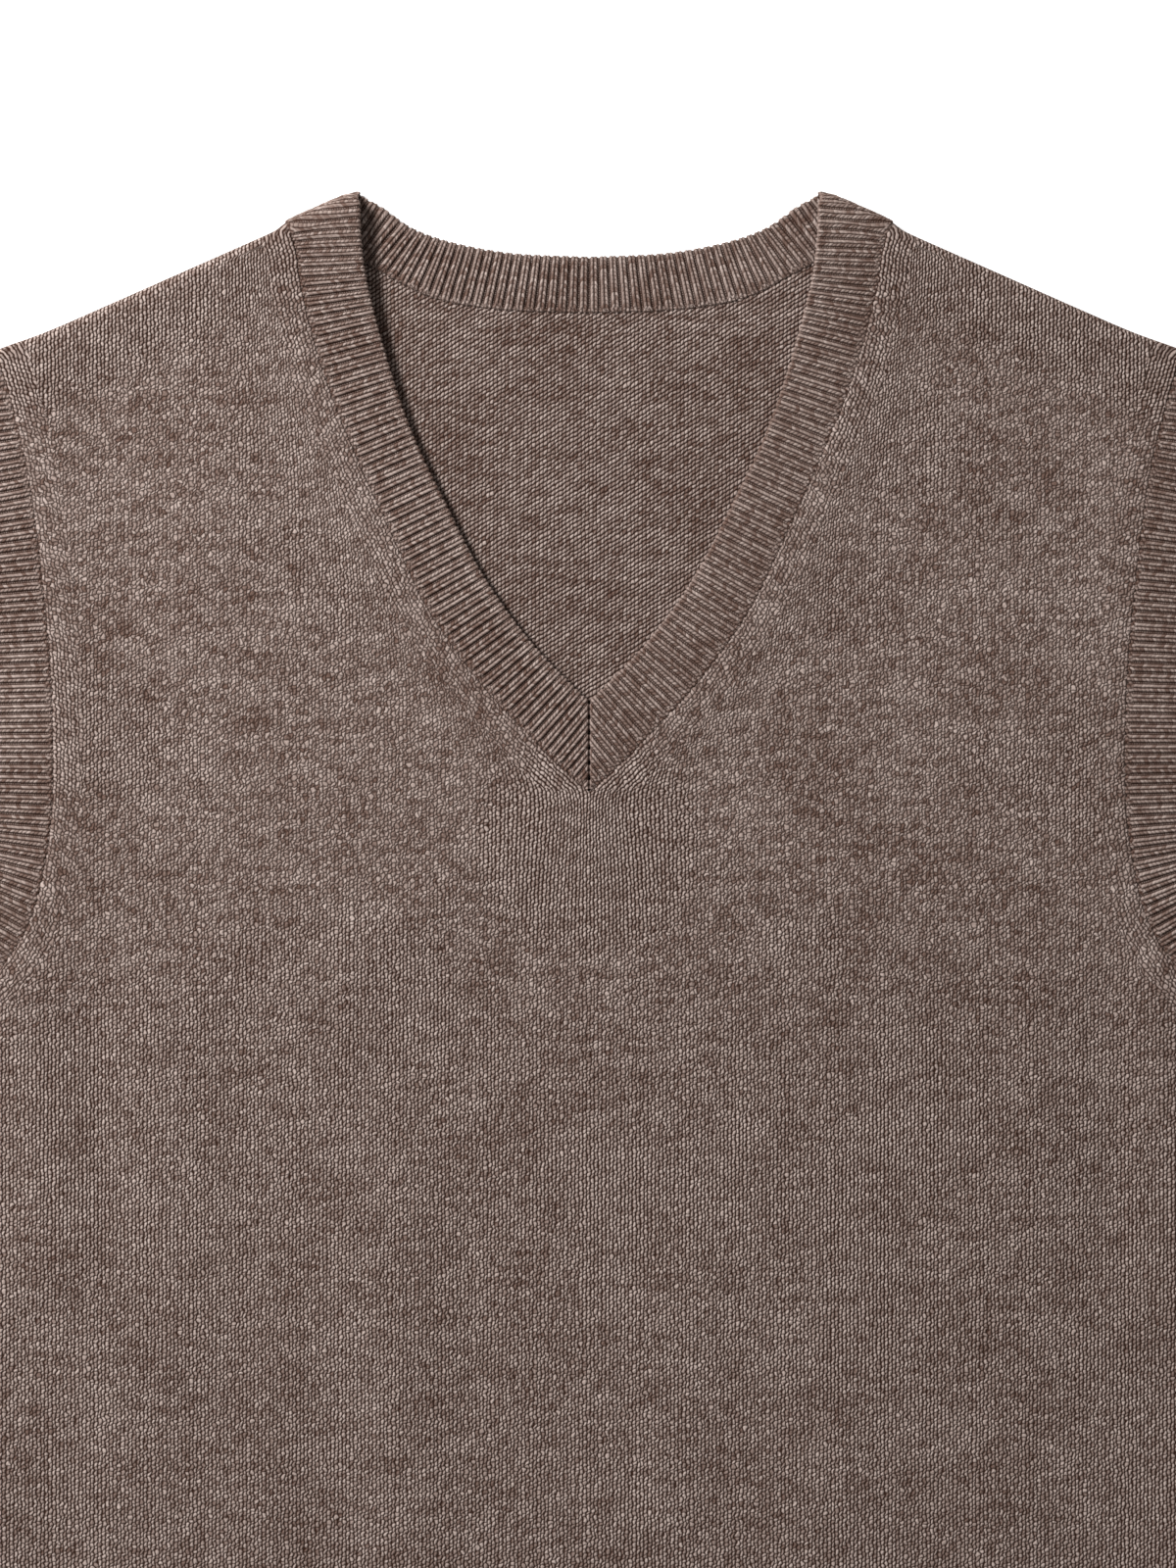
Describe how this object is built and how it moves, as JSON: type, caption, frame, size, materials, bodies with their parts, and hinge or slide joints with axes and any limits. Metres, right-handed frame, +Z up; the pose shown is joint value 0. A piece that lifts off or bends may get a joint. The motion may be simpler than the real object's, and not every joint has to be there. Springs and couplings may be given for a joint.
{
  "type": "knitted sweater vest",
  "caption": "Sleeveless V-neck sweater vest in heathered stocking stitch, with ribbed neck, armhole and hem bands, laid flat.",
  "frame": {"origin": "centre of the laid garment's outline, on the surface it lies on", "axes": "+Z up off the surface, +Y from the hem to the neck, +X towards the wearer's left"},
  "size_m": [0.5, 0.6624, 0.0096],
  "materials": {
    "jersey_knit": "matte taupe-brown heathered yarn in fine stocking stitch, soft with a short fuzz",
    "rib_knit": "matte taupe-brown heathered yarn in one-by-one rib, soft with a short fuzz"
  },
  "bodies": {
    "root": {"back_panel": "jersey_knit", "front_panel": "jersey_knit", "back_hem_rib": "rib_knit", "front_hem_rib": "rib_knit", "neck_band": "rib_knit", "armhole_band_left": "rib_knit", "armhole_band_right": "rib_knit"}
  },
  "joints": []
}
